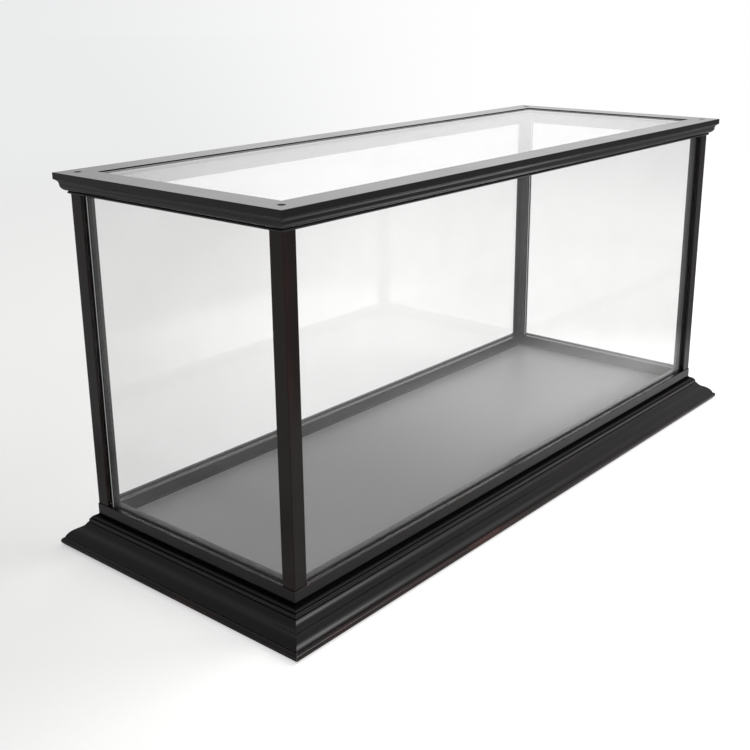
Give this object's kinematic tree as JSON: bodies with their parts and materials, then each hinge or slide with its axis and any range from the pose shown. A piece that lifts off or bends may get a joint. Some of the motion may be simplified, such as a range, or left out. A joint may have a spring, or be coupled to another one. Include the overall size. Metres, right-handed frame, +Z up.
{
  "type": "display case",
  "caption": "Long clear-sided display case for a scale model: mitred moulded base, slim grooved corner posts, slide-in clear panes and a screwed lift-off lid with a clear top.",
  "frame": {"origin": "centre of the base's footprint, on the surface that the case stands on", "axes": "+X along the long side to the right, +Y to the back, +Z up; the front long side faces -Y"},
  "size_m": [0.84, 0.343, 0.388],
  "materials": {
    "black_lacquer": "satin black lacquer over dark red-brown hardwood",
    "floor_lacquer": "satin black lacquer on plywood",
    "bare_wood": "sawn softwood",
    "screw_steel": "zinc plated",
    "clear_acrylic": "clear polished sheet"
  },
  "bodies": {
    "base": {"base_moulding_front": "black_lacquer", "base_moulding_back": "black_lacquer", "base_moulding_left": "black_lacquer", "base_moulding_right": "black_lacquer", "plinth_rail_front": "black_lacquer", "plinth_rail_back": "black_lacquer", "plinth_rail_left": "black_lacquer", "plinth_rail_right": "black_lacquer", "floor_board": "floor_lacquer", "glue_block_front_left": "bare_wood", "glue_block_front_right": "bare_wood", "glue_block_back_left": "bare_wood", "glue_block_back_right": "bare_wood", "post_front_left": "black_lacquer", "post_front_right": "black_lacquer", "post_back_left": "black_lacquer", "post_back_right": "black_lacquer", "post_screws": "screw_steel"},
    "lid": {"lid_rail_front": "black_lacquer", "lid_rail_back": "black_lacquer", "lid_rail_left": "black_lacquer", "lid_rail_right": "black_lacquer", "top_pane": "clear_acrylic"},
    "front_pane": {"pane_front": "clear_acrylic"},
    "back_pane": {"pane_back": "clear_acrylic"},
    "left_pane": {"pane_left": "clear_acrylic"},
    "right_pane": {"pane_right": "clear_acrylic"},
    "screw_front_left": {"lid_screw_front_left": "screw_steel"},
    "screw_front_right": {"lid_screw_front_right": "screw_steel"},
    "screw_back_left": {"lid_screw_back_left": "screw_steel"},
    "screw_back_right": {"lid_screw_back_right": "screw_steel"}
  },
  "joints": [
    {"name": "lid_lift", "type": "slide", "parent": "base", "child": "lid", "axis": [0, 0, 1], "range_m": [0, 0.42]},
    {"name": "front_pane_slide", "type": "slide", "parent": "base", "child": "front_pane", "axis": [0, 0, 1], "range_m": [0, 0.336]},
    {"name": "back_pane_slide", "type": "slide", "parent": "base", "child": "back_pane", "axis": [0, 0, 1], "range_m": [0, 0.336]},
    {"name": "left_pane_slide", "type": "slide", "parent": "base", "child": "left_pane", "axis": [0, 0, 1], "range_m": [0, 0.336]},
    {"name": "right_pane_slide", "type": "slide", "parent": "base", "child": "right_pane", "axis": [0, 0, 1], "range_m": [0, 0.336]},
    {"name": "front_left_screw_turn", "type": "hinge", "parent": "lid", "child": "screw_front_left", "pos_m": [-0.3842, -0.1357, 0.388], "axis": [0, 0, 1], "continuous": true},
    {"name": "front_right_screw_turn", "type": "hinge", "parent": "lid", "child": "screw_front_right", "pos_m": [0.3842, -0.1357, 0.388], "axis": [0, 0, 1], "continuous": true},
    {"name": "back_left_screw_turn", "type": "hinge", "parent": "lid", "child": "screw_back_left", "pos_m": [-0.3842, 0.1357, 0.388], "axis": [0, 0, 1], "continuous": true},
    {"name": "back_right_screw_turn", "type": "hinge", "parent": "lid", "child": "screw_back_right", "pos_m": [0.3842, 0.1357, 0.388], "axis": [0, 0, 1], "continuous": true}
  ],
  "couplings": [
    {"joint": "front_pane_slide", "follows": "lid_lift", "ratio": 0.8},
    {"joint": "back_pane_slide", "follows": "lid_lift", "ratio": 0.8},
    {"joint": "left_pane_slide", "follows": "lid_lift", "ratio": 0.8},
    {"joint": "right_pane_slide", "follows": "lid_lift", "ratio": 0.8}
  ]
}
